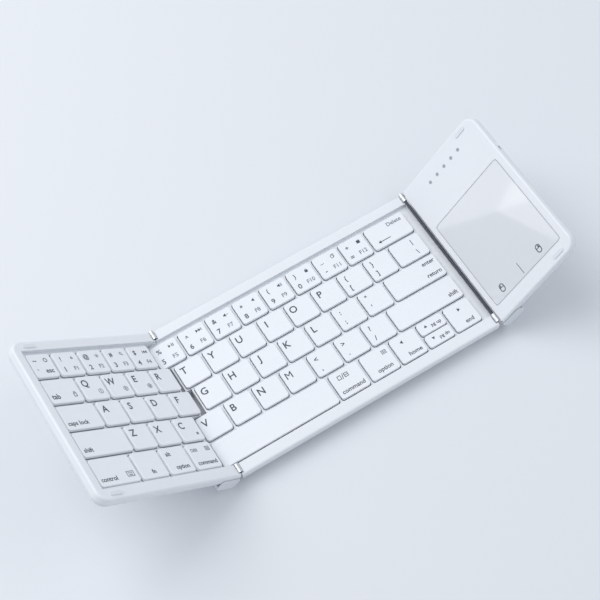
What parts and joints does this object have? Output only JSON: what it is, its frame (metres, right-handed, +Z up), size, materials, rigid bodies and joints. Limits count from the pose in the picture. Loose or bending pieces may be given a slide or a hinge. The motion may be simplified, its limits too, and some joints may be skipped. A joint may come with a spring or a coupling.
{
  "type": "folding keyboard",
  "caption": "Three-panel folding keyboard with knuckle hinges, staggered key rows and a touchpad wing, shown half open.",
  "frame": {"origin": "centre of the centre panel's flat case underside", "axes": "+X towards the touchpad wing, +Y to the back, +Z up"},
  "size_m": [0.2863, 0.0994, 0.0775],
  "materials": {
    "key_caps": "moulded white ABS caps, satin",
    "lower_shell": "moulded white ABS, fine texture",
    "upper_shell": "moulded white ABS, satin",
    "plate": "stamped sheet",
    "film": "printed polyester film",
    "silicone": "translucent silicone",
    "links": "acetal",
    "magnet": "nickel-plated magnet",
    "screw": "plated steel",
    "foot": "light grey rubber",
    "bumper": "pale grey silicone",
    "hinge_metal": "bright rolled steel",
    "pin_steel": "blackened steel",
    "touch_surface": "smooth, slightly glossy",
    "board": "solder mask green",
    "cell": "foil pouch",
    "socket": "drawn steel shell",
    "switch": "black moulded body",
    "slider": "white moulded nub",
    "light_guide": "frosted clear"
  },
  "bodies": {
    "base": {"centre_bottom_case": "lower_shell", "centre_top_cover": "upper_shell", "centre_support_plate": "plate", "centre_membrane": "film", "centre_rubber_domes": "silicone", "centre_scissor_links": "links", "centre_magnets": "magnet", "centre_screws": "screw", "centre_feet": "foot", "centre_knuckles": "hinge_metal", "left_hinge_pins": "pin_steel", "right_hinge_rod": "pin_steel"},
    "left_wing": {"left_bottom_case": "lower_shell", "left_top_cover": "upper_shell", "left_support_plate": "plate", "left_membrane": "film", "left_rubber_domes": "silicone", "left_scissor_links": "links", "left_magnets": "magnet", "left_screws": "screw", "left_feet": "foot", "left_bumpers": "bumper", "left_hinge_housing": "lower_shell", "left_knuckles": "hinge_metal"},
    "right_wing": {"right_bottom_case": "lower_shell", "right_top_cover": "upper_shell", "main_board": "board", "battery": "cell", "usb_c_socket": "socket", "power_switch_body": "switch", "indicator_light_guides": "light_guide", "right_magnets": "magnet", "right_screws": "screw", "right_feet": "foot", "right_bumpers": "bumper", "right_hinge_housing": "lower_shell", "right_knuckles": "hinge_metal"},
    "touchpad": {"touchpad_plate": "touch_surface", "touchpad_board": "board"},
    "power_switch": {"power_switch_slider": "slider"},
    "number_row_keys": {"number_row_keys": "key_caps"},
    "delete_key": {"delete_key": "key_caps"},
    "upper_row_keys": {"upper_row_keys": "key_caps"},
    "home_row_keys": {"home_row_keys": "key_caps"},
    "enter_key": {"enter_key": "key_caps"},
    "lower_row_keys": {"lower_row_keys": "key_caps"},
    "right_shift_key": {"right_shift_key": "key_caps"},
    "space_bar": {"space_bar": "key_caps"},
    "side_keys": {"side_keys": "key_caps"},
    "arrow_up_key": {"arrow_up_key": "key_caps"},
    "arrow_down_key": {"arrow_down_key": "key_caps"},
    "left_number_keys": {"left_number_keys": "key_caps"},
    "left_upper_keys": {"left_upper_keys": "key_caps"},
    "tab_key": {"tab_key": "key_caps"},
    "left_home_keys": {"left_home_keys": "key_caps"},
    "caps_lock_key": {"caps_lock_key": "key_caps"},
    "left_lower_keys": {"left_lower_keys": "key_caps"},
    "left_shift_key": {"left_shift_key": "key_caps"},
    "left_front_keys": {"left_front_keys": "key_caps"},
    "control_key": {"control_key": "key_caps"}
  },
  "joints": [
    {"name": "left_wing_fold", "type": "hinge", "parent": "base", "child": "left_wing", "pos_m": [-0.0822, 0, 0.0073], "axis": [0, 1, 0], "range_deg": [-43.2, 136.8]},
    {"name": "right_wing_fold", "type": "hinge", "parent": "base", "child": "right_wing", "pos_m": [0.0822, 0, 0.0073], "axis": [0, -1, 0], "range_deg": [-50.2, 129.8]},
    {"name": "number_row_keys_press", "type": "slide", "parent": "base", "child": "number_row_keys", "axis": [0, 0, -1], "range_m": [0, 0.0012], "stiffness_N_per_m": 2800, "springref_m": -0.0003, "deforming": ["centre_rubber_domes", "centre_scissor_links"]},
    {"name": "delete_key_press", "type": "slide", "parent": "base", "child": "delete_key", "axis": [0, 0, -1], "range_m": [0, 0.0012], "stiffness_N_per_m": 350, "springref_m": -0.0003},
    {"name": "upper_row_keys_press", "type": "slide", "parent": "base", "child": "upper_row_keys", "axis": [0, 0, -1], "range_m": [0, 0.0012], "stiffness_N_per_m": 3150, "springref_m": -0.0003},
    {"name": "home_row_keys_press", "type": "slide", "parent": "base", "child": "home_row_keys", "axis": [0, 0, -1], "range_m": [0, 0.0012], "stiffness_N_per_m": 2450, "springref_m": -0.0003},
    {"name": "enter_key_press", "type": "slide", "parent": "base", "child": "enter_key", "axis": [0, 0, -1], "range_m": [0, 0.0012], "stiffness_N_per_m": 350, "springref_m": -0.0003},
    {"name": "lower_row_keys_press", "type": "slide", "parent": "base", "child": "lower_row_keys", "axis": [0, 0, -1], "range_m": [0, 0.0012], "stiffness_N_per_m": 2450, "springref_m": -0.0003},
    {"name": "right_shift_key_press", "type": "slide", "parent": "base", "child": "right_shift_key", "axis": [0, 0, -1], "range_m": [0, 0.0012], "stiffness_N_per_m": 350, "springref_m": -0.0003},
    {"name": "space_bar_press", "type": "slide", "parent": "base", "child": "space_bar", "axis": [0, 0, -1], "range_m": [0, 0.0012], "stiffness_N_per_m": 350, "springref_m": -0.0003},
    {"name": "side_keys_press", "type": "slide", "parent": "base", "child": "side_keys", "axis": [0, 0, -1], "range_m": [0, 0.0012], "stiffness_N_per_m": 1400, "springref_m": -0.0003},
    {"name": "arrow_up_key_press", "type": "slide", "parent": "base", "child": "arrow_up_key", "axis": [0, 0, -1], "range_m": [0, 0.0012], "stiffness_N_per_m": 350, "springref_m": -0.0003},
    {"name": "arrow_down_key_press", "type": "slide", "parent": "base", "child": "arrow_down_key", "axis": [0, 0, -1], "range_m": [0, 0.0012], "stiffness_N_per_m": 350, "springref_m": -0.0003},
    {"name": "left_number_keys_press", "type": "slide", "parent": "left_wing", "child": "left_number_keys", "axis": [-0.6845, 0, -0.729], "range_m": [0, 0.0012], "stiffness_N_per_m": 1750, "springref_m": -0.0003, "deforming": ["left_rubber_domes", "left_scissor_links"]},
    {"name": "left_upper_keys_press", "type": "slide", "parent": "left_wing", "child": "left_upper_keys", "axis": [-0.6845, 0, -0.729], "range_m": [0, 0.0012], "stiffness_N_per_m": 1400, "springref_m": -0.0003},
    {"name": "tab_key_press", "type": "slide", "parent": "left_wing", "child": "tab_key", "axis": [-0.6845, 0, -0.729], "range_m": [0, 0.0012], "stiffness_N_per_m": 350, "springref_m": -0.0003},
    {"name": "left_home_keys_press", "type": "slide", "parent": "left_wing", "child": "left_home_keys", "axis": [-0.6845, 0, -0.729], "range_m": [0, 0.0012], "stiffness_N_per_m": 1400, "springref_m": -0.0003},
    {"name": "caps_lock_key_press", "type": "slide", "parent": "left_wing", "child": "caps_lock_key", "axis": [-0.6845, 0, -0.729], "range_m": [0, 0.0012], "stiffness_N_per_m": 350, "springref_m": -0.0003},
    {"name": "left_lower_keys_press", "type": "slide", "parent": "left_wing", "child": "left_lower_keys", "axis": [-0.6845, 0, -0.729], "range_m": [0, 0.0012], "stiffness_N_per_m": 1050, "springref_m": -0.0003},
    {"name": "left_shift_key_press", "type": "slide", "parent": "left_wing", "child": "left_shift_key", "axis": [-0.6845, 0, -0.729], "range_m": [0, 0.0012], "stiffness_N_per_m": 350, "springref_m": -0.0003},
    {"name": "left_front_keys_press", "type": "slide", "parent": "left_wing", "child": "left_front_keys", "axis": [-0.6845, 0, -0.729], "range_m": [0, 0.0012], "stiffness_N_per_m": 1050, "springref_m": -0.0003},
    {"name": "control_key_press", "type": "slide", "parent": "left_wing", "child": "control_key", "axis": [-0.6845, 0, -0.729], "range_m": [0, 0.0012], "stiffness_N_per_m": 350, "springref_m": -0.0003},
    {"name": "touchpad_click", "type": "hinge", "parent": "right_wing", "child": "touchpad", "pos_m": [0.10365, 0.0156, 0.02848], "axis": [0.6401, 0, 0.7683], "range_deg": [0, 0.5], "stiffness_Nm_per_rad": 12, "springref_deg": -0.17},
    {"name": "power_switch_slide", "type": "slide", "parent": "right_wing", "child": "power_switch", "axis": [0, -1, 0], "range_m": [0, 0.0024]}
  ]
}
